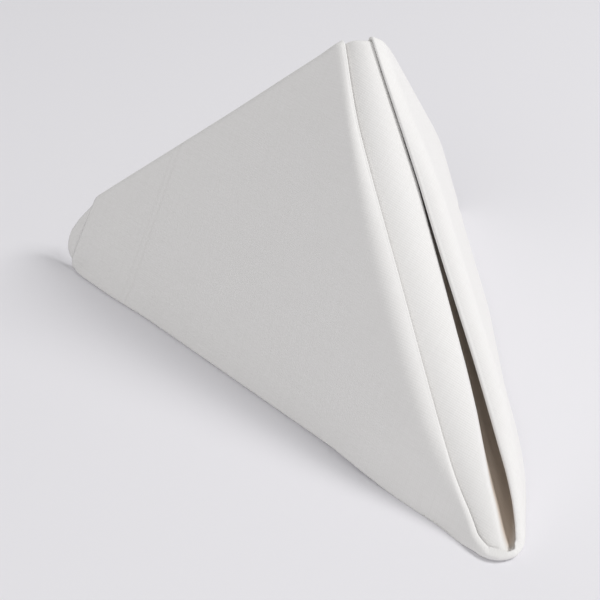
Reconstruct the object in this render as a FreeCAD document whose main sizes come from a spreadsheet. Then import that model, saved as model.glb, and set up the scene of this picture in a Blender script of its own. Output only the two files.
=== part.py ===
"""Square cloth napkin, folded to the standing pyramid and modelled as one solid.

The cloth is folded corner to corner.  Both side corners are brought up to the
far corner, the far part is turned back behind, and the whole is folded along
its middle, so that it stands on its two lower fold lines like a small tent.
The front ridge rises from the foot to the peak.  The edges of the two outer
flaps run along it, with the rounded under layers showing between them.

Millimetres, Z up.  The ridge faces -Y and the open side of the tent +Y.
"""

import FreeCAD
import Part
import Sketcher
import math
import os

doc = FreeCAD.newDocument("folded_napkin")
sizes = doc.addObject("Spreadsheet::Sheet", "Sizes")

# The sizes that can be chosen.
sizes.set("A1", "side of the square cloth, laid flat")
sizes.set("B1", "508")
sizes.setAlias("B1", "napkin_side")
sizes.set("A2", "thickness of one layer")
sizes.set("B2", "0.45")
sizes.setAlias("B2", "cloth")
sizes.set("A3", "length of the open hem across each side tip")
sizes.set("B3", "37")
sizes.setAlias("B3", "tip_hem")
sizes.set("A4", "degrees that the front ridge rises from the table")
sizes.set("B4", "39.8")
sizes.setAlias("B4", "ridge_rise")
sizes.set("A5", "outer radius of the two flaps round the ridge")
sizes.set("B5", "11")
sizes.setAlias("B5", "flap_radius")
sizes.set("A6", "outer radius of the layers under the flaps")
sizes.set("B6", "16")
sizes.setAlias("B6", "roll_radius")
sizes.set("A7", "width of the open seam above the foot")
sizes.set("B7", "16")
sizes.setAlias("B7", "seam_foot")
sizes.set("A8", "width of the open seam at the peak")
sizes.set("B8", "11")
sizes.setAlias("B8", "seam_top")
sizes.set("A9", "how far the seam wanders to the left on its way up")
sizes.set("B9", "7")
sizes.setAlias("B9", "seam_drift")
sizes.set("A10", "height of the folded rim that closes the seam's foot")
sizes.set("B10", "3")
sizes.setAlias("B10", "rim_height")
sizes.set("A11", "how far the under layers stick out past the flaps")
sizes.set("B11", "2.5")
sizes.setAlias("B11", "tip_step")
rows = ["B%d" % number for number in range(1, 12)]


def size(alias, text, words):
    """One more line of the sheet, worked out from the sizes above."""
    rows.append(alias)
    sizes.set("A%d" % len(rows), words)
    sizes.set("B%d" % len(rows), text)
    sizes.setAlias("B%d" % len(rows), alias)


# What follows from the folds.  Lengths on the cloth run along its diagonals.
size("half_diagonal", "=napkin_side / sqrt(2)", "centre of the cloth to a corner")
size("half_open", "=asin(sqrt(cos(ridge_rise)^2 - sin(ridge_rise)^4 / cos(ridge_rise)^2))",
     "angle between a face and the middle plane, across the ridge")
size("turn", "=90 - half_open / 1 deg", "degrees from the crown of the ridge to a face")
size("slack", "=flap_radius * (tan(turn) - turn * pi / 180)",
     "cloth saved on each side by a rounded ridge")
size("fold_back", "=half_diagonal / 2 - seam_foot / 4 + tip_hem / sqrt(2)",
     "first fold to the turned-back fold")
size("ridge_line", "=fold_back + seam_foot / 2 + slack", "sharp ridge, table to peak")
size("wing", "=(half_diagonal + seam_foot / 2) / sqrt(2) + slack * sqrt(2)",
     "sharp foot of the ridge to the flaps' hem, along the table")
size("reach", "=ridge_line * cos(ridge_rise)", "foot of the ridge to below the peak")
size("wing_yaw", "=acos(sin(half_open) / sqrt(2)) / 1 deg", "degrees from +X to a wing")
size("face_lean", "=asin(sqrt(2) * sin(ridge_rise)) / 1 deg", "degrees that a face leans up")
size("pair", "=2 * cloth", "two layers, as every fold edge has them")
size("stack", "=8 * cloth", "all layers where the turned-back part lies behind")
size("flap_seat", "=flap_radius / sin(half_open)", "sharp ridge to the flaps' centre")
size("roll_seat", "=(roll_radius + pair) / sin(half_open)", "sharp ridge to the roll's centre")
size("seam_start", "=(flap_seat - flap_radius) / tan(ridge_rise) + rim_height / sin(ridge_rise)",
     "lowest point of the open seam, along the ridge")
doc.recompute()

# The surfaces of the stack round the ridge, from the outside in: the fold
# whose centre they share, and how many layers lie outside them in that fold.
surfaces = {
    "skin": ("flap", 0),
    "lining": ("flap", 2),
    "under": ("roll", 0),
    "middle": ("roll", 2),
    "core": ("roll", 4),
    "inner": ("roll", 6),
}


def origin_plane(body, role):
    """The body's own origin plane with this role."""
    for feature in body.Origin.OriginFeatures:
        if feature.Role == role:
            return feature


def new_body(name):
    """A body whose Z runs up the ridge and whose Y points into the tent."""
    body = doc.addObject("PartDesign::Body", name)
    body.setExpression(
        "Placement",
        "placement(vector(0; -Sizes.reach; 0); rotation(vector(1; 0; 0); Sizes.ridge_rise - 90))",
    )
    return body


def new_sketch(body, name, role, lift=None):
    """An attached sketch on an origin plane, lifted along it if asked."""
    sketch = body.newObject("Sketcher::SketchObject", name)
    sketch.AttachmentSupport = [(origin_plane(body, role), "")]
    sketch.MapMode = "FlatFace"
    if lift:
        sketch.setExpression("AttachmentOffset.Base.z", lift)
    return sketch


def pick(alias):
    """A value of the sheet as a plain number."""
    return float(getattr(sizes, alias))


def tie(sketch, expression, *rule):
    """A constraint whose value follows the sheet."""
    index = sketch.addConstraint(Sketcher.Constraint(*rule))
    sketch.setExpression("Constraints[%d]" % index, expression)


def layer_sketch(body, name, outer, inner, lift=None):
    """Section across the ridge between two surfaces of the stack."""
    sketch = new_sketch(body, name, "XY_Plane", lift)
    angle = math.radians(pick("half_open"))
    length = pick("half_diagonal")
    up = FreeCAD.Vector(0, 0, 1)
    arcs = []
    rights = []
    lefts = []
    for surface in (outer, inner):
        fold, layers = surfaces[surface]
        radius = pick(fold + "_radius") - layers * pick("cloth")
        seat = pick(fold + "_seat")
        centre = FreeCAD.Vector(0, seat, 0)
        touch = FreeCAD.Vector(math.cos(angle), -math.sin(angle), 0) * radius + centre
        far = touch + FreeCAD.Vector(math.sin(angle), math.cos(angle), 0) * length
        touch_left = FreeCAD.Vector(-touch.x, touch.y, 0)
        far_left = FreeCAD.Vector(-far.x, far.y, 0)
        circle = Part.Circle(centre, up, radius)
        arc = sketch.addGeometry(Part.ArcOfCircle(circle, -math.pi + angle, -angle))
        right = sketch.addGeometry(Part.LineSegment(touch, far))
        left = sketch.addGeometry(Part.LineSegment(far_left, touch_left))
        sketch.addConstraint(Sketcher.Constraint("Tangent", arc, 2, right, 1))
        sketch.addConstraint(Sketcher.Constraint("Tangent", left, 2, arc, 1))
        sketch.addConstraint(Sketcher.Constraint("PointOnObject", arc, 3, -2))
        tie(sketch, "Sizes.%s_radius - %d * Sizes.cloth" % (fold, layers), "Radius", arc, radius)
        tie(sketch, "Sizes.%s_seat" % fold, "DistanceY", -1, 1, arc, 3, seat)
        arcs.append(arc)
        rights.append(right)
        lefts.append(left)
    ends = [sketch.getPoint(rights[0], 2), sketch.getPoint(rights[1], 2)]
    cap_right = sketch.addGeometry(Part.LineSegment(ends[0], ends[1]))
    ends = [sketch.getPoint(lefts[1], 1), sketch.getPoint(lefts[0], 1)]
    cap_left = sketch.addGeometry(Part.LineSegment(ends[0], ends[1]))
    sketch.addConstraint(Sketcher.Constraint("Coincident", rights[0], 2, cap_right, 1))
    sketch.addConstraint(Sketcher.Constraint("Coincident", cap_right, 2, rights[1], 2))
    sketch.addConstraint(Sketcher.Constraint("Coincident", lefts[1], 1, cap_left, 1))
    sketch.addConstraint(Sketcher.Constraint("Coincident", cap_left, 2, lefts[0], 1))
    sketch.addConstraint(Sketcher.Constraint("Symmetric", lefts[0], 1, rights[0], 2, -2))
    sketch.addConstraint(Sketcher.Constraint("Parallel", rights[0], rights[1]))
    sketch.addConstraint(Sketcher.Constraint("Parallel", lefts[0], lefts[1]))
    sketch.addConstraint(Sketcher.Constraint("Perpendicular", rights[0], cap_right))
    sketch.addConstraint(Sketcher.Constraint("Perpendicular", lefts[0], cap_left))
    tie(sketch, "Sizes.half_diagonal * sin(Sizes.half_open)",
        "DistanceX", rights[0], 1, rights[0], 2, length * math.sin(angle))
    tie(sketch, "Sizes.half_diagonal * cos(Sizes.half_open)",
        "DistanceY", rights[0], 1, rights[0], 2, length * math.cos(angle))
    return sketch


def layers_up(body, name, outer, inner, start, length):
    """Layers drawn out along the ridge, from this height over this length."""
    feature = body.newObject("PartDesign::Pad", name)
    feature.Profile = layer_sketch(body, name + "Section", outer, inner, start)
    feature.setExpression("Length", length)
    doc.recompute()
    return feature


def round_edges(body, name, wanted, radius):
    """Rounds the edges of the body that the test picks."""
    base = body.Tip
    inverse = base.Placement.inverse()
    names = []
    for number, edge in enumerate(base.Shape.Edges, 1):
        spots = [inverse.multVec(point) for point in edge.discretize(5)]
        if edge.Length > 2 * pick("pair") and wanted(spots):
            names.append("Edge%d" % number)
    feature = body.newObject("PartDesign::Fillet", name)
    feature.Base = (base, names)
    feature.setExpression("Radius", radius)
    doc.recompute()
    return feature


def at_height(height):
    """A test for edges that lie level at this height along the ridge."""
    return lambda spots: all(abs(spot.z - height) < 1e-4 for spot in spots)


crest_start = "Sizes.ridge_line - Sizes.stack"

# The two outer flaps, joined over the peak, with the seam open down the ridge.
flaps = new_body("Flaps")
layers_up(flaps, "FlapLayers", "skin", "lining", None, crest_start)
layers_up(flaps, "Crest", "skin", "inner", crest_start, "Sizes.stack")
round_edges(flaps, "CrestRound", at_height(pick("ridge_line")), "0.45 * Sizes.stack")
before_seam = flaps.Shape.Volume

seam = new_sketch(flaps, "SeamOutline", "XZ_Plane")
foot_half = pick("seam_foot") / 2
foot_level = pick("seam_start") + foot_half
top_level = pick("ridge_line") + pick("cloth")
top_right = FreeCAD.Vector(pick("seam_top") / 2 - pick("seam_drift"), top_level, 0)
top_left = FreeCAD.Vector(-pick("seam_top") / 2 - pick("seam_drift"), top_level, 0)
foot_right = FreeCAD.Vector(foot_half, foot_level, 0)
foot_left = FreeCAD.Vector(-foot_half, foot_level, 0)
foot_circle = Part.Circle(FreeCAD.Vector(0, foot_level, 0), FreeCAD.Vector(0, 0, 1), foot_half)
foot_arc = seam.addGeometry(Part.ArcOfCircle(foot_circle, -math.pi, 0))
right_side = seam.addGeometry(Part.LineSegment(foot_right, top_right))
top_side = seam.addGeometry(Part.LineSegment(top_right, top_left))
left_side = seam.addGeometry(Part.LineSegment(top_left, foot_left))
seam.addConstraint(Sketcher.Constraint("PointOnObject", foot_arc, 3, -2))
tie(seam, "Sizes.seam_start + Sizes.seam_foot / 2", "DistanceY", -1, 1, foot_arc, 3, foot_level)
tie(seam, "Sizes.seam_foot / 2", "Radius", foot_arc, foot_half)
seam.addConstraint(Sketcher.Constraint("Coincident", right_side, 2, top_side, 1))
seam.addConstraint(Sketcher.Constraint("Coincident", top_side, 2, left_side, 1))
seam.addConstraint(Sketcher.Constraint("Horizontal", top_side))
tie(seam, "Sizes.seam_top / 2 - Sizes.seam_drift", "DistanceX", -1, 1, top_side, 1, top_right.x)
tie(seam, "Sizes.seam_top", "DistanceX", top_side, 2, top_side, 1, pick("seam_top"))
tie(seam, "Sizes.ridge_line + Sizes.cloth", "DistanceY", -1, 1, top_side, 1, top_level)
seam.addConstraint(Sketcher.Constraint("Tangent", foot_arc, 2, right_side, 1))
seam.addConstraint(Sketcher.Constraint("Tangent", left_side, 2, foot_arc, 1))
seam_cut = flaps.newObject("PartDesign::Pocket", "Seam")
seam_cut.Profile = seam
seam_cut.Midplane = True
seam_cut.setExpression("Length", "Sizes.napkin_side")
doc.recompute()
after_seam = flaps.Shape.Volume

# The under layers, turned over at the peak between the flaps.
under = new_body("UnderLayers")
layers_up(under, "UnderFront", "under", "middle", None, crest_start)
layers_up(under, "Core", "under", "core", crest_start, "Sizes.stack - Sizes.pair")
round_edges(under, "CoreRound", at_height(pick("ridge_line") - pick("pair")),
            "0.45 * 2 * Sizes.pair")

# The turned-back part, which lies behind the under layers.
behind = new_body("TurnedBack")
layers_up(behind, "BackLayers", "middle", "inner", None, crest_start)

# The lowest fold, where all four front layers join along the table.
heel = new_body("Heel")
layers_up(heel, "HeelLayers", "skin", "middle", None, "Sizes.ridge_line / 2")


def wing_frame(side):
    """Placement with X along a wing on the table, from the foot of the ridge."""
    yaw = "Sizes.wing_yaw" if side > 0 else "180 - Sizes.wing_yaw"
    return ("placement(vector(0; -Sizes.reach; 0); rotation(vector(0; 0; 1); %s))" % yaw)


def block(name, length, width, height, placement):
    """A box that trims the layers."""
    box = doc.addObject("Part::Box", name)
    box.setExpression("Length", length)
    box.setExpression("Width", width)
    box.setExpression("Height", height)
    box.setExpression("Placement", placement)
    return box


def tip_block(name, side, start):
    """Everything past the hem across one tip."""
    shift = ("placement(vector(%s; -Sizes.napkin_side / 2; -Sizes.napkin_side / 2);"
             " rotation(vector(0; 0; 1); 0))")
    return block(name, "Sizes.napkin_side", "Sizes.napkin_side", "Sizes.napkin_side",
                 wing_frame(side) + " * " + shift % start)


def hem_block(name, side):
    """Everything below the hem of the turned-back part, in one face."""
    tilt = "Sizes.face_lean - 90" if side > 0 else "90 - Sizes.face_lean"
    turned = "placement(vector(0; 0; 0); rotation(vector(1; 0; 0); %s))" % tilt
    shift = ("placement(vector(-Sizes.napkin_side; -Sizes.napkin_side / 2; -Sizes.napkin_side);"
             " rotation(vector(0; 0; 1); 0))")
    return block(name, "3 * Sizes.napkin_side", "Sizes.napkin_side",
                 "Sizes.napkin_side + Sizes.tip_hem",
                 wing_frame(side) + " * " + turned + " * " + shift)


def fuse(name, shapes):
    """Several shapes as one."""
    joined = doc.addObject("Part::MultiFuse", name)
    joined.Shapes = shapes
    return joined


def cut(name, base, tool):
    """The base without the tool."""
    less = doc.addObject("Part::Cut", name)
    less.Base = base
    less.Tool = tool
    return less


flap_ends = fuse("FlapEnds", [tip_block("FlapEndRight", 1, "Sizes.wing"),
                              tip_block("FlapEndLeft", -1, "Sizes.wing")])
under_ends = fuse("UnderEnds", [tip_block("UnderEndRight", 1, "Sizes.wing + Sizes.tip_step"),
                                tip_block("UnderEndLeft", -1, "Sizes.wing + Sizes.tip_step")])
hems = fuse("Hems", [hem_block("HemRight", 1), hem_block("HemLeft", -1)])
floor = block("HeelHeight", "4 * Sizes.napkin_side", "4 * Sizes.napkin_side", "Sizes.pair",
              "placement(vector(-2 * Sizes.napkin_side; -2 * Sizes.napkin_side; 0);"
              " rotation(vector(0; 0; 1); 0))")
low_fold = doc.addObject("Part::Common", "LowFold")
low_fold.Base = heel
low_fold.Tool = floor
outside = fuse("Outside", [flaps, low_fold])
trimmed_flaps = cut("TrimmedFlaps", outside, flap_ends)
hemmed_back = cut("HemmedBack", behind, hems)
inside = fuse("Inside", [under, hemmed_back])
trimmed_inside = cut("TrimmedInside", inside, under_ends)
whole = fuse("Whole", [trimmed_flaps, trimmed_inside])
table = block("Table", "4 * Sizes.napkin_side", "4 * Sizes.napkin_side", "Sizes.napkin_side",
              "placement(vector(-2 * Sizes.napkin_side; -2 * Sizes.napkin_side; -Sizes.napkin_side);"
              " rotation(vector(0; 0; 1); 0))")
napkin = cut("Napkin", whole, table)
napkin.Label = "napkin"
doc.recompute()

# The origin is below the middle of the napkin, on the table.
box = napkin.Shape.optimalBoundingBox(False, False)
napkin.Placement.Base = FreeCAD.Vector(-box.Center.x, -box.Center.y, -box.ZMin)
doc.recompute()

for item in doc.Objects:
    for word in ("Invalid", "Error"):
        if word in item.State:
            raise RuntimeError("%s: %s" % (item.Name, item.State))
if after_seam >= before_seam:
    raise RuntimeError("the seam is not open")
shape = napkin.Shape
if shape.isNull() or not shape.isValid() or len(shape.Solids) != 1:
    raise RuntimeError("napkin: %d solids" % len(shape.Solids))

os.makedirs("parts", exist_ok=True)
shape.exportStep("parts/%s.step" % napkin.Label)
box = shape.optimalBoundingBox(False, False)
print("napkin: %.1f x %.1f x %.1f mm" % (box.XLength, box.YLength, box.ZLength))
print("volume %.0f mm3, %d faces" % (shape.Volume, len(shape.Faces)))
for alias in ("half_open", "slack", "fold_back", "ridge_line", "wing", "reach", "face_lean"):
    print(alias, "%.2f" % pick(alias))
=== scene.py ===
# %% [markdown]
# # A dinner napkin folded into a standing pyramid
# One square of woven cotton is folded four times and set down like a small
# tent. The long ridge climbs away from the foot, and between the edges of its
# two outer flaps the inner layers show as one pale soft roll.
# The solid part is loaded first. It fixes the size and the place of
# everything, so the cloth only has to be folded into the space it holds.

# %% Load the solid part
import math

import bmesh
import bpy
from mathutils import Matrix, Vector


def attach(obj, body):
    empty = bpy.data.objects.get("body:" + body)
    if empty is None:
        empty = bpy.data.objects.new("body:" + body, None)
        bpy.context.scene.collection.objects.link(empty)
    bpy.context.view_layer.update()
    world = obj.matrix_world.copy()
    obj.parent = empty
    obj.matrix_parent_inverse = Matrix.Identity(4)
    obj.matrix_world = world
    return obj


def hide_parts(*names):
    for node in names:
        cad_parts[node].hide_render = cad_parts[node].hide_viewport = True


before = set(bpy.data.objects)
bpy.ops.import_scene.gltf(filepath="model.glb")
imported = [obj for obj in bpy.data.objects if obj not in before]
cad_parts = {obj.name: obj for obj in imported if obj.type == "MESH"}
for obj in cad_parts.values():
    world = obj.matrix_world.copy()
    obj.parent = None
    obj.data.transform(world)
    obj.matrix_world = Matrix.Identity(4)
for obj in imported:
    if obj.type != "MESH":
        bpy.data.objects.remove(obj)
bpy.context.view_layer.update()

# %% [markdown]
# ## The napkin's own numbers
# A napkin maker knows a napkin by its cut size and its cloth, and a waiter
# knows the fold by where its creases fall. Every length here is in
# millimetres, because cloth is measured so; the mesh is made metres once, at
# the end. The main sizes are the ones the solid part was drawn with.

# %% Sizes of the cloth and of the fold
CUT = 508.0             # the hemmed square, 20 inches a side
CLOTH = 0.42            # thickness of the cotton
LAYER = 0.58            # one layer of cloth lying on the next
HALF = CUT / math.sqrt(2)
SEAM = 8.0              # flap edges meet this far short of the centre
TIP_HEM = 37.0          # length of hem that shows at each low tip
RISE = math.radians(39.8)   # how steeply the ridge climbs
HEM = 41.0              # from the cloth's side to the hem's inner stitches
HEM_STITCHES = 3.4      # distance between the hem's two lines of stitches

LEG = math.acos(math.tan(RISE))     # half the angle between the tent's legs
TURN = math.pi / 2 - LEG            # how far each leg is bent down
RIDGE = 11.0            # the ridge's radius that the solid part has
SLACK = RIDGE * (math.tan(TURN) - TURN)     # width that rounding the ridge saves
TIP_RISE = TIP_HEM / math.sqrt(2)
FOLD_BACK = HALF / 2 - SEAM / 2 + TIP_RISE  # where the top is turned behind
FOOT_Y = -134.49        # where the sharp foot stands on the table
print("half diagonal", round(HALF, 1), "turned back at", round(FOLD_BACK, 1))


def ease(t):
    """0 below 0, 1 above 1, and a soft slope between them."""
    t = min(max(t, 0.0), 1.0)
    return t * t * (3 - 2 * t)


def blend(a, b, t):
    return a + (b - a) * t


# %% [markdown]
# ## Cutting the flat cloth
# The real thing starts as a flat square, and so does this one: a single
# quad, turned so that its diagonals lie along X and Y. It is then sliced by
# planes, the way a maker would rule fold lines on it. Lines are far apart on
# the broad faces and close together where the cloth will bend. Slicing keeps
# one connected sheet, so no seam can open when it is folded, and the flat
# place of every point is kept as its UV for the weave.

# %% Ruling the square
cloth = bmesh.new()
bmesh.ops.create_grid(cloth, x_segments=1, y_segments=1, size=CUT / 2)
side = max(v.co.x for v in cloth.verts) * 2
bmesh.ops.scale(cloth, vec=(CUT / side, CUT / side, 1), verts=cloth.verts)
bmesh.ops.rotate(
    cloth, cent=(0, 0, 0), verts=cloth.verts,
    matrix=Matrix.Rotation(math.radians(45), 3, "Z"))


def rule(at, across):
    """Cuts the cloth along one straight line, at a distance along a direction."""
    direction = Vector(across).normalized()
    bmesh.ops.bisect_plane(
        cloth, geom=cloth.verts[:] + cloth.edges[:] + cloth.faces[:],
        dist=1e-5, plane_co=direction * at, plane_no=direction)


def spaced(start, stop, step):
    count = max(1, round((stop - start) / step))
    return [start + (stop - start) * i / count for i in range(count)]


lines = (
    spaced(0, 2.4, 0.4) + spaced(2.4, 30, 1.5) + spaced(30, 60, 3.0)
    + spaced(60, FOLD_BACK - 10, 6.0)
    + spaced(FOLD_BACK - 10, FOLD_BACK + SEAM + 8, 1.0)
    + spaced(FOLD_BACK + SEAM + 8, HALF - 1, 6.0))
for at in lines:
    for way in (1, -1):
        if at == 0 and way == -1:
            continue
        rule(at * way, (1, 0, 0))
        rule(at * way, (0, 1, 0))
print("ruled", len(cloth.faces), "faces")

# %% [markdown]
# ### The bottom creases and the hem
# The two creases that rest on the table run parallel to the sides of the
# square, so they need slanting lines of their own. A few lines on each side
# of a crease let the cloth turn over in an arc instead of a knife edge. Each
# side of the square gets two lines as well: one where the hem is stitched, and
# one close to the side, which keeps the shading of its thin rim crisp.

# %% Ruling the slanting creases
ROUND_THE_CREASE = (
    -5, -3.6, -2.6, -1.8, -1.0, -0.2, 0.6, 1.4, 2.2, 3.2, 4.4, 6)
RIM = 0.8               # width of the last strip along the cloth's side
for sx in (1, -1):
    for sy in (1, -1):
        for step in ROUND_THE_CREASE:
            rule(SEAM / math.sqrt(2) + step, (sx, sy, 0))
for n in ((1, 1, 0), (1, -1, 0), (-1, 1, 0), (-1, -1, 0)):
    rule(CUT / 2 - HEM, n)
    rule(CUT / 2 - RIM, n)
flat_uv = cloth.loops.layers.uv.new("Cloth")
for face in cloth.faces:
    for loop in face.loops:
        u, v = loop.vert.co.x, loop.vert.co.y
        loop[flat_uv].uv = (
            ((u + v) / math.sqrt(2) + CUT / 2) / CUT,
            ((v - u) / math.sqrt(2) + CUT / 2) / CUT)
print("cut and ruled", len(cloth.verts), "points")

# %% [markdown]
# ## How the ridge is shaped
# Cloth bends round the ridge more tightly at the foot, where it is pinched,
# and at the peak, where it is turned over, than half way up. The edges of the
# two flaps don't run quite straight either. Each of these lines starts at the
# foot and moves over by a few soft steps on its way up: the two edges, and the
# gap that opens between the roll and the right flap. Changing a step is like
# pushing the real cloth with a finger.

# %% The ridge's curves
BENDS = (11.9, 19.0, 9.0)       # the ridge's radius at foot, middle and peak


def ridge_radius(y):
    """The outer skin's radius round the ridge."""
    foot, middle, peak = BENDS
    t = min(max(y / FOLD_BACK, 0.0), 1.0)
    return (
        foot * (1 - t) * (1 - 2 * t) + 4 * middle * t * (1 - t)
        + peak * t * (2 * t - 1))


def along_ridge(y, start, *steps):
    """A line along the ridge, which starts at the foot and moves by soft
    steps: each says by how much, from what height on and over what length."""
    return start + sum(by * ease((y - at) / over) for by, at, over in steps)


def left_edge(y):
    """How far round the ridge the left flap's edge lies. It bows out above
    the foot and comes in again at the peak."""
    return along_ridge(
        y, 10.1, (3.4, -10, 45), (-1.3, 30, 80), (0.25, 125, 30), (-2.35, 163, 45))


def right_edge(y):
    """The same for the right flap, which comes in much further at the peak."""
    return along_ridge(y, 8.4, (1.5, 25, 50), (-1.8, 72, 80), (-6.9, 133, 82))


def mouth(y):
    """The gap that shows between the roll and the right flap's edge. Below 0
    the flap covers the roll's side."""
    return along_ridge(y, 11.0, (-3.8, 12, 48), (-8.2, 10, 190))


for at in (0, 100, 200):
    print(at, "mm up: left edge", round(left_edge(at), 1),
          "right edge", round(right_edge(at), 1), "gap", round(mouth(at), 1))

# %% [markdown]
# ### Room between the layers
# The layers don't lie tight everywhere. Under the right flap the inner ones
# sink and leave a long pocket, deep at the foot and a mere slit at the peak,
# but never deeper than the table allows. Everything else is counted from the
# outer skin: how high it lies over the first layer, and where it meets the
# table when the tent stands.

# %% Pocket, skin and table
SLOPE = 60              # the legs' small slack is evened out over this width


def hollow(y):
    """How deep the inner layers sink under the right flap's edge."""
    return blend(10.0, 2.5, ease((y - 5) / 120))


def sink(x, y, past):
    """Depth that the inner layers lie below a tight stack."""
    edge, gap = right_edge(y), mouth(y)
    brink = edge - gap
    bottom = brink + max(0.45 * gap, 0) + 1.8
    if x < bottom:
        side = ease((x - brink + 0.4) / (bottom - brink + 0.4))
    else:
        side = 1 - ease((x - edge - 3) / 26)
    room = max(-0.6 * past - 1.2, 0.0)
    deep = hollow(y) * room / (hollow(y) + room)
    loose = 0.12 + 0.7 * (1 - ease(y / 40))
    return loose + deep * side


def skin_height(x, y, past):
    """How high the outer skin lies over the first layer's middle."""
    return 2.5 * LAYER + CLOTH / 2 + sink(x, y, past)


def table_line(x):
    """Where the outer skin meets the table: the height along the ridge, how
    steeply that line climbs, and how far the skin leans there."""
    radius = ridge_radius(0)
    turn = min(x / radius, TURN)
    down = radius / math.cos(TURN) - radius * math.cos(turn)
    past = x - radius * turn
    past += (SLACK - radius * (math.tan(TURN) - TURN)) * ease(x / SLOPE)
    y = (down + max(past, 0) * math.sin(TURN)) / math.tan(RISE) - SEAM - SLACK
    lean = math.acos(math.cos(turn) * math.cos(RISE))
    return y, math.sin(turn) / math.tan(RISE), lean


# %% [markdown]
# ## Folding, one crease after the other
# Each crease is a thick fold: the cloth comes up to the crease, goes round an
# arc as wide as the layers already in it, and lies back on itself. Doing the
# four folds in the order of the hand gives a true stack, with real layers
# behind every edge, which no box or wedge could show. The first fold halves
# the square. Its crease later becomes the edges of the two flaps, so it is
# given a roundness of its own, and the flaps a soft swell behind it.

# %% First fold: the square is halved
def bead(along):
    """Radius of the crease: thin at foot and peak, fuller between them."""
    away = abs(along)
    pinch = 0.35 if along > 0 else 0.1
    return 0.55 + 0.2 * ease((away - 14) / 50) - pinch * ease((away - 150) / 50)


def halve(along, v):
    """Flat distance from the crease -> distance, height and half thickness."""
    away, puff = abs(v), bead(along)
    quarter = math.pi * puff / 2
    side = 1 if v > 0 else -1
    if away < quarter:
        turn = away / puff
        return puff * (1 - math.cos(turn)), side * puff * math.sin(turn), puff
    past = away - quarter
    thick = blend(puff, LAYER / 2, ease(past / 12))
    return puff + past, side * thick, thick


def lift(side, along, beyond):
    """How far a flap swells up behind its edge, which itself lies down. The
    left flap keeps part of this up to the peak, where it curls more tightly."""
    calm = 1.0 if side > 0 else 0.55
    reach = 9.0 if side > 0 else 12.0 - 7.5 * ease((along - 110) / 70)
    swell = 3.4 * ease((along - 10) / 50) * (1 - calm * ease((along - 130) / 65))
    rising = 1 - (1 - min(max(beyond, 0) / reach, 1.0)) ** 2
    return swell * rising * (1 - ease((beyond - 10) / 60))


# %% [markdown]
# ### The corners come up to the peak
# The second fold makes the creases that the napkin will stand on. They have to
# meet the table all along, also where the ridge is round, so the crease isn't
# one straight line but the line where the skin will touch the table.

# %% Second fold: the corners come up
def fold_corner(side, x, y, z, thick):
    """Folds a corner over: its new place x, y, its height in the stack, its
    depth below the skin, and how far past the crease it lay."""
    line, slope, lean = table_line(x)
    norm = math.sqrt(1 + slope * slope)
    past = (line - y) / norm
    out_x, out_y = slope / norm, -1 / norm
    beyond = max(past, 0.0)
    skin = skin_height(side * x, y - out_y * beyond, past)
    level = (skin - LAYER / 2 - CLOTH / 2) / 2
    middle = level + thick - LAYER / 2
    touch = (1 + math.cos(lean)) / math.sin(lean)
    start = -touch * (middle + thick + CLOTH / 2)
    if past <= start:
        return x, y, z, skin - z, past
    full = blend(math.pi / 2 + RISE, math.pi, ease((slope - 0.1) / 0.8))
    radius = middle - z
    arc = (past - start) / radius
    if arc < full:
        inward = start + radius * math.sin(arc)
        height = middle - radius * math.cos(arc)
    else:
        # an outer layer has the longer way round, and evens it out in 40 mm
        run = past - start - full * radius
        even = full * (radius - middle) * ease(run / 40)
        inward = start + radius * math.sin(full) + (run + even) * math.cos(full)
        height = middle - radius * math.cos(full) + run * math.sin(full)
        lower = height + thick - LAYER / 2 - 2 * (middle - level)
        height = blend(height, lower, ease(run / 12))
    shift = inward - past
    return x + shift * out_x, y + shift * out_y, height, skin - height, past


# %% [markdown]
# ### The top is turned behind
# The third fold turns the loose top down behind the stack. Here the layers
# simply go round one common axis, the outer ones in the wider arc.

# %% Third fold: the top is turned behind
def turn_behind(y, z, skin):
    """New height along the ridge, new stack height and share of the turn."""
    low = -LAYER
    radius = z - low
    centre = FOLD_BACK - (skin - low)
    if y <= centre:
        return y, z, 0.0
    arc = (y - centre) / radius
    if arc < math.pi:
        return (
            centre + radius * math.sin(arc), low + radius * math.cos(arc),
            arc / math.pi)
    return centre - (y - centre - math.pi * radius), low - radius, 1.0


# %% [markdown]
# ### Standing it up
# The last fold bends the whole stack round the ridge. Outer layers go round a
# wider arc than inner ones, so each layer is given its own radius. Past the
# arc a layer is flat again and leans against the next. Turning the ridge up
# by its rise then puts both bottom creases on the table.

# %% Fourth fold: the stack goes round the ridge
def wrap(far, y, depth):
    """How far across and how far down the bend carries a point."""
    radius = ridge_radius(y)
    inner = max(radius - depth, 0.8)
    shape_slack = radius * math.tan(TURN) - inner * TURN
    length = far + (SLACK - shape_slack) * ease(far / SLOPE)
    turn = min(length / inner, TURN)
    run = length - inner * turn
    across = inner * math.sin(turn) + run * math.cos(TURN)
    down = radius / math.cos(TURN) - inner * math.cos(turn) + run * math.sin(TURN)
    return across, down


# %% [markdown]
# ### What the hand leaves behind
# A folded napkin is never quite straight. Its peak sags a little, its foot is
# set down slightly to the left, and its right leg bows. At the left tip the
# inner layers have slid out along the table, so they peep out beside the hem.
# These moves are less than a centimetre each and fade out smoothly, and the
# table stops whatever would go below it.

# %% Small moves of the cloth
ALONG_TABLE = (0.39, 0.59, 0.71)    # 1 mm along a bottom crease, in the
                                    # stack's ways: across, down and climb
NEAR_TABLE = 0.5


def sag(x, y, depth):
    """How far the peak sags: most at the right, least on the roll."""
    most = 1.5 + 0.08 * x - 1.3 * ease((depth - 0.6) / 0.6) * ease(-x / 8)
    return most * math.exp(-((FOLD_BACK - y) / 25) ** 2 - (x / 14) ** 2)


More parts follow.
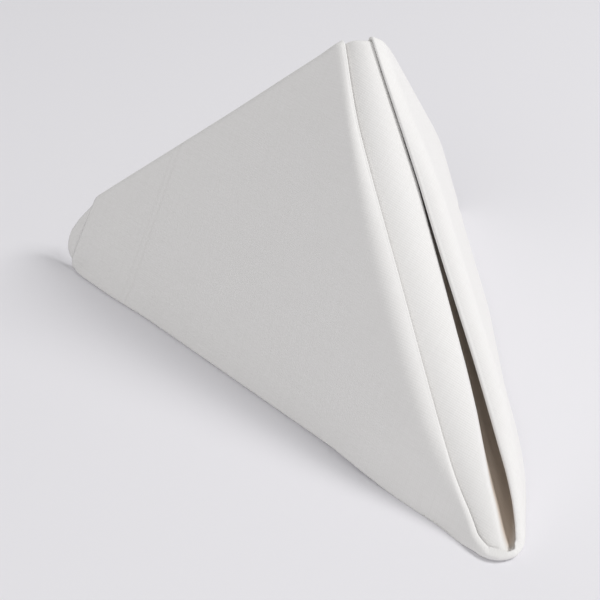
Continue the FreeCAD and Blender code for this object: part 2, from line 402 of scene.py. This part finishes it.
def loosen_tip(side, far, y, depth):
    """Rounds the two corners of a tip, and slides the left one's inner layers
    out: the move across, and the way that a layer slides along the table."""
    low = (FOLD_BACK - y) / TIP_RISE
    tip = ease((far - 140) / 25)
    upper = 0.3 * math.exp(-(low / 0.14) ** 2)
    lower = 1.6 * math.exp(-((1 - low) / 0.1) ** 2)
    across, slide = -tip * (upper + lower), 0.0
    if side < 0:
        across += 1.6 * tip * ease(low)
        under = tip * ease((depth - 1.3) / 0.6) * ease((1 - low) / 0.2)
        slide = 9.0 * under * math.sin(math.pi * min(max(low, 0), 1) ** 1.4)
    return across, slide


def bow(far, y, height):
    """How far the right leg bows: in at the foot and the tip, out between."""
    foot = -2.0 * ease(far / 6) * (1 - ease((y - 8) / 25))
    outer = ease((far - 110) / 50)
    middle = 1.1 * ease(far / 20) * ease((y + 2) / 20) * (1 - outer)
    return foot + middle - 3.4 * outer * (1 - ease(height / 50))


def above_table(height):
    """Heights below a half millimetre are pressed together over the table."""
    if height >= NEAR_TABLE:
        return height
    soft = NEAR_TABLE - CLOTH / 2
    return CLOTH / 2 + soft * math.exp((height - NEAR_TABLE) / soft)


def stand(x, y, depth):
    """Bends, moves and turns up one point of the stack."""
    side, far = (1 if x >= 0 else -1), abs(x)
    across, down = wrap(far, y, depth)
    climb = y + SEAM + SLACK - sag(x, y, depth)
    moved, slide = loosen_tip(side, far, y, depth)
    across += moved + ALONG_TABLE[0] * slide
    down += ALONG_TABLE[1] * slide
    climb += ALONG_TABLE[2] * slide
    height = climb * math.sin(RISE) - down * math.cos(RISE)
    push = -2.8 * (1 - ease((y + 4) / 26))
    if side > 0:
        push += bow(far, y, height)
    return Vector((
        side * across + push,
        FOOT_Y + down * math.sin(RISE) + climb * math.cos(RISE),
        above_table(height)))


# %% [markdown]
# ### All four folds in a row
# Each point of the flat square goes through the four folds and gets its place.
# A flap's edge is moved to its line along the ridge on the way. Points deep in
# the pocket get a value of painted shade, which later darkens and warms the
# cotton's colour there.

# %% Where one point of the cloth ends up
ROUND_EDGE = 1.28       # width that the round crease takes from a flap


def fold(u, v):
    """New place of a point of the flat square, and how much painted shade it gets."""
    y, z, thick = halve(u, v)
    side = 1 if u >= 0 else -1
    x, y, z, depth, past = fold_corner(side, abs(u), y, z, thick)
    on_flap = ease(past / 3)
    rise = 0.0
    if on_flap > 0:
        edge = left_edge(y) if side < 0 else right_edge(y)
        near = 1 - ease((x - SEAM) / 90)
        x += (edge - SEAM + ROUND_EDGE) * near * on_flap * ease((y - 1) / 12)
        rise = lift(side, y, x - edge) * on_flap
        depth -= rise
    skin = z + depth
    y, z, turned = turn_behind(y, z, skin + rise)
    if turned > 0:
        line, slope, lean = table_line(x)
        behind = skin_height(side * x, y, (line - y) / math.sqrt(1 + slope * slope))
        skin = blend(skin, behind, ease(turned))
    # Painted shade: the deeper a point lies in the pocket, the darker and warmer the
    # cotton's colour is made there.
    pocket_shade = 0.0
    if v > 0 and turned == 0 and past < 0:
        pocket_shade = min((skin - z - 2.4) / 2.0, 1.0)
    return stand(side * x, y, skin - z), max(pocket_shade, 0.0)


painted_shade = cloth.verts.layers.float.new("painted_shade")
for vert in cloth.verts:
    vert.co, vert[painted_shade] = fold(vert.co.x, vert.co.y)
bmesh.ops.scale(cloth, vec=(0.001,) * 3, verts=cloth.verts)
lowest = min(v.co.z for v in cloth.verts)
print("folded; lowest point", round(lowest * 1000, 2), "mm")

# %% [markdown]
# ## From a sheet of no thickness to cloth
# The folded sheet is the middle of the cloth. Solidify gives it its thickness,
# half to each side, and closes it with a thin rim, so it becomes a body with
# an outside all round. Smooth shading keeps its bends soft.

# %% Finish the mesh
mesh = bpy.data.meshes.new("napkin_cloth")
cloth.to_mesh(mesh)
cloth.free()
napkin = bpy.data.objects.new("napkin_cloth", mesh)
bpy.context.scene.collection.objects.link(napkin)
for polygon in mesh.polygons:
    polygon.use_smooth = True
thickness = napkin.modifiers.new("thickness", "SOLIDIFY")
thickness.thickness = CLOTH / 1000
thickness.offset = 0
thickness.use_quality_normals = True
print("napkin mesh:", len(mesh.polygons), "faces")

# %% [markdown]
# ## Writing materials as sums
# Weave is easiest to say as arithmetic, so one small class wraps a socket and
# lets Python's own signs add the maths nodes. Every other node is made by one
# method that takes its type, its settings and what goes into its sockets.


# %% The shader helper
class Shade:
    def __init__(self, tree, socket=None):
        self.tree = tree
        self.socket = socket

    def node(self, kind, settings=None, **inputs):
        made = self.tree.nodes.new(kind)
        for name, value in (settings or {}).items():
            setattr(made, name, value)
        for name, value in inputs.items():
            where = int(name[2:]) if name.startswith("at") else name.replace("_", " ")
            if isinstance(value, Shade):
                self.tree.links.new(value.socket, made.inputs[where])
            else:
                made.inputs[where].default_value = value
        return made

    def take(self, made, output=0):
        return Shade(self.tree, made.outputs[output])

    def sums(self, operation, *parts):
        inputs = {"at%d" % i: part for i, part in enumerate(parts)}
        return self.take(
            self.node("ShaderNodeMath", {"operation": operation}, **inputs))

    def __add__(self, other):
        return self.sums("ADD", self, other)

    __radd__ = __add__

    def __sub__(self, other):
        return self.sums("SUBTRACT", self, other)

    def __rsub__(self, other):
        return self.sums("SUBTRACT", other, self)

    def __mul__(self, other):
        return self.sums("MULTIPLY", self, other)

    __rmul__ = __mul__

    def __truediv__(self, other):
        return self.sums("DIVIDE", self, other)

    def sin(self):
        return self.sums("SINE", self)

    def abs(self):
        return self.sums("ABSOLUTE", self)

    def top(self, other):
        return self.sums("MAXIMUM", self, other)

    def least(self, other):
        return self.sums("MINIMUM", self, other)


def new_finish(name):
    finish = bpy.data.materials.new(name)
    finish.use_nodes = True
    tree = finish.node_tree
    return finish, Shade(tree), tree.nodes["Principled BSDF"]


# %% [markdown]
# ## The cotton
# Seen close, the cloth is a plain weave: threads a little under a millimetre
# apart go over and under each other. Seen from a table's length it is a matt
# off-white with a trace of warmth. The pattern follows the flat cloth's own
# coordinates, so it turns with every fold, as threads do. Long faint streaks
# stand for threads that are thicker in places, and two shallow grooves for the
# hem's lines of stitches, with painted shade darkening the grooves and stitches.
# Deep in the pocket, painted shade makes the colour darker and warmer.

# %% The weave
cotton, shade, shader = new_finish("cotton")
place = shade.take(shade.node("ShaderNodeUVMap", {"uv_map": "Cloth"}))
parts = shade.node("ShaderNodeSeparateXYZ", Vector=place)
warp_way, weft_way = shade.take(parts, 0), shade.take(parts, 1)
COUNT = CUT / 0.85      # threads each way across the cloth
along, across = warp_way * COUNT, weft_way * COUNT
warp = (along * math.pi).sin()
weft = (across * math.pi).sin()
over = warp * weft
weave = (warp.abs() * (0.5 + 0.5 * over)).top(weft.abs() * (0.5 - 0.5 * over))
side_near = warp_way.least(1 - warp_way).least(
    weft_way.least(1 - weft_way)) * CUT
cloth_place = shade.take(shade.node(
    "ShaderNodeVectorMath", {"operation": "SCALE"}, at0=place, Scale=CUT))


def streaks(stretch):
    """Soft noise, drawn out along one way of the threads."""
    drawn = shade.take(shade.node(
        "ShaderNodeMapping", {}, Vector=cloth_place, Scale=stretch))
    return shade.take(shade.node(
        "ShaderNodeTexNoise", {"noise_dimensions": "2D"},
        Vector=drawn, Scale=1.0, Detail=2.0))


def stitch_line(inset):
    """1 on a line this far in from the cloth's sides, 0 a millimetre away."""
    return 1 - ((side_near - inset).abs() * 0.9).least(1.0)


def mix(share, first, second):
    return shade.take(shade.node(
        "ShaderNodeMix", {"data_type": "RGBA"},
        at0=share, at6=first, at7=second), 2)


threads = streaks((0.05, 0.9, 1)) + streaks((0.9, 0.05, 1))
groove = stitch_line(HEM)
second = stitch_line(HEM - HEM_STITCHES)
stitch_shade = groove * (0.45 + 0.55 * (along * 1.1).sin() * (across * 1.1).sin())
# The hem's two grooves and the dots of its stitches are darkened in the colour as
# painted shade; the grooves are also pressed in by the bump.
tint = (
    weave * 0.35 + threads * 0.4 - (groove + second) * 0.18 - stitch_shade * 0.4)
# Painted shade: deep in the pocket the cotton's colour is mixed towards a darker warm
# brown.
pocket_shade = shade.take(shade.node(
    "ShaderNodeAttribute", {"attribute_name": "painted_shade"}), 2)
colour = mix(tint, (0.80, 0.785, 0.77, 1), (0.87, 0.86, 0.85, 1))
colour = mix(pocket_shade, colour, (0.63, 0.53, 0.44, 1))
height = (
    weave * 0.00012 + threads * 0.00010 - (groove + second) * 0.00028)
bump = shade.take(shade.node(
    "ShaderNodeBump", {}, Strength=0.35, Distance=1.0, Height=height))
cotton.node_tree.links.new(colour.socket, shader.inputs["Base Color"])
cotton.node_tree.links.new(bump.socket, shader.inputs["Normal"])
shader.inputs["Roughness"].default_value = 0.85
shader.inputs["Sheen Weight"].default_value = 0.15
shader.inputs["Sheen Roughness"].default_value = 0.6
shader.inputs["Specular IOR Level"].default_value = 0.25
mesh.materials.append(cotton)
print("cotton has", len(cotton.node_tree.nodes), "nodes")

# %% [markdown]
# ## Floor, light and camera
# A photographer would set this on a pale sweep. A plain square is enough here,
# because the picture shows nothing of its far edge.

# %% The floor
FLOOR = 6.0             # metres a side
floor_mesh = bpy.data.meshes.new("floor")
ground = bmesh.new()
bmesh.ops.create_grid(ground, x_segments=1, y_segments=1, size=FLOOR / 2)
ground.to_mesh(floor_mesh)
ground.free()
floor = bpy.data.objects.new("floor", floor_mesh)
bpy.context.scene.collection.objects.link(floor)
pale, _, floor_shader = new_finish("pale_floor")
floor_shader.inputs["Base Color"].default_value = (0.82, 0.81, 0.84, 1)
floor_shader.inputs["Roughness"].default_value = 0.9
floor_mesh.materials.append(pale)
print("floor is", FLOOR, "m wide")

# %% [markdown]
# ### One large soft light
# The main lamp stands high at the front right, so the left face falls into
# gentle shade and the roll on the ridge stays bright. A weak lamp at the left
# and a bright room lighten that shade. All three are white, and weak enough that
# the pale cloth doesn't burn out.

# %% The light
world = bpy.context.scene.world or bpy.data.worlds.new("room")
bpy.context.scene.world = world
world.use_nodes = True
sky = world.node_tree.nodes["Background"]
sky.inputs["Color"].default_value = (1.0, 1.0, 1.0, 1)
sky.inputs["Strength"].default_value = 0.46


def soft_lamp(name, place, aim, size, watts):
    data = bpy.data.lights.new(name, "AREA")
    data.shape = "SQUARE"
    data.size = size
    data.energy = watts
    lamp = bpy.data.objects.new(name, data)
    lamp.location = place
    lamp.rotation_mode = "QUATERNION"
    lamp.rotation_quaternion = (Vector(aim) - Vector(place)).to_track_quat("-Z", "Y")
    bpy.context.scene.collection.objects.link(lamp)
    return lamp


window = soft_lamp("window", (1.82, -0.85, 2.23), (0, 0, 0.05), 1.0, 51)
fill = soft_lamp("fill", (-1.7, -1.5, 1.1), (0, 0, 0.06), 1.5, 10)
for lamp in (window, fill):
    print("lamp", lamp.name, lamp.data.energy, "W")

# %% [markdown]
# ### Where the photographer stood
# The camera looks down on the foot from the left. Its place and its angles
# were found by laying the fold's corners over their images in the picture, and
# its lens by the picture's perspective.

# %% The camera
FOCAL = 1114.77 / 600   # focal length as a share of the picture's width
SENSOR = 36
eye_data = bpy.data.cameras.new("camera")
eye_data.sensor_fit = "HORIZONTAL"
eye_data.sensor_width = SENSOR
eye_data.lens = FOCAL * SENSOR
eye_data.clip_start = 0.01
eye = bpy.data.objects.new("camera", eye_data)
bpy.context.scene.collection.objects.link(eye)
eye.location = (-0.17984, -0.33411, 0.27628)
yaw, pitch, roll = math.radians(23.28), math.radians(33.05), math.radians(3.51)
eye.rotation_mode = "QUATERNION"
aim = Vector((
    math.sin(yaw) * math.cos(pitch), math.cos(yaw) * math.cos(pitch),
    -math.sin(pitch)))
right = Vector((math.cos(yaw), -math.sin(yaw), 0))
up = right.cross(aim)
right, up = (
    right * math.cos(roll) + up * math.sin(roll),
    up * math.cos(roll) - right * math.sin(roll))
eye.rotation_quaternion = Matrix((right, up, -aim)).transposed().to_quaternion()
bpy.context.scene.camera = eye
bpy.context.scene.view_settings.view_transform = "Standard"
print("camera lens", round(eye_data.lens, 1), "mm")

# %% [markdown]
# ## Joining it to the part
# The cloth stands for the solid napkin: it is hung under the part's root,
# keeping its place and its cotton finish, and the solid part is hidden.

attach(napkin, "root")
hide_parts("napkin")
